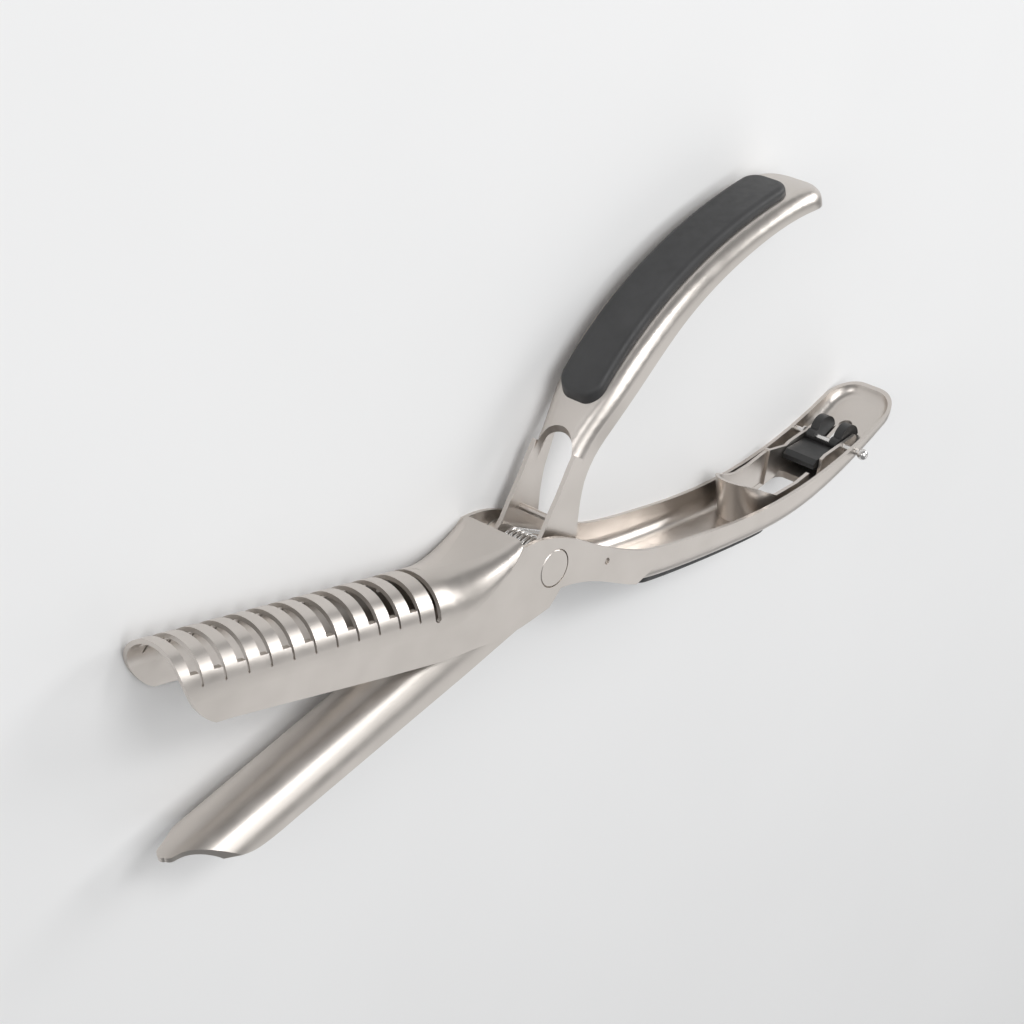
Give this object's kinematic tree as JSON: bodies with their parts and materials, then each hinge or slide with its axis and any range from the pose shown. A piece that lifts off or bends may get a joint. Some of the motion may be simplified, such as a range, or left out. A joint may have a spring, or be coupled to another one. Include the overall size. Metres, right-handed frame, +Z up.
{
  "type": "slotted forming tong",
  "caption": "Plier-type hand tong with nested half-tube jaws, the upper one slotted, sprung curved handles with soft grips and a thumb latch.",
  "frame": {"origin": "on the pivot axis, in the plane of the outer face of the far cheek, on which the tong lies flat", "axes": "+X towards the handles, +Y towards the upper handle, +Z up along the pivot axis"},
  "size_m": [0.2946, 0.1117, 0.0279],
  "materials": {
    "cast_metal": "satin",
    "grip_rubber": "satin",
    "hard_plastic": "matte",
    "washer_plastic": "matte",
    "steel": "polished"
  },
  "bodies": {
    "slotted": {"frame_slotted": "cast_metal", "grip_lower_skin": "grip_rubber", "grip_lower_tray": "hard_plastic", "pivot_pin": "steel", "pivot_far_cap": "steel", "thrust_washers": "washer_plastic", "spring_bush": "washer_plastic", "torsion_spring": "steel", "anchor_pin_lower": "steel", "latch_pin": "steel", "latch_ball": "steel", "latch_pin_ring": "steel"},
    "ridge": {"frame_ridge": "cast_metal", "grip_upper_skin": "grip_rubber", "grip_upper_tray": "hard_plastic", "anchor_pin_upper": "steel"},
    "latch": {"latch_lever": "hard_plastic"}
  },
  "joints": [
    {"name": "squeeze", "type": "hinge", "parent": "slotted", "child": "ridge", "pos_m": [0, 0, 0.0118], "axis": [0, 0, -1], "range_deg": [0, 25.5], "stiffness_Nm_per_rad": 0.8, "springref_deg": -28.65, "deforming": ["torsion_spring"]},
    {"name": "latch_swing", "type": "hinge", "parent": "slotted", "child": "latch", "pos_m": [0.13845, -0.02028, 0.0118], "axis": [0, 0, 1], "range_deg": [0, 11]}
  ]
}
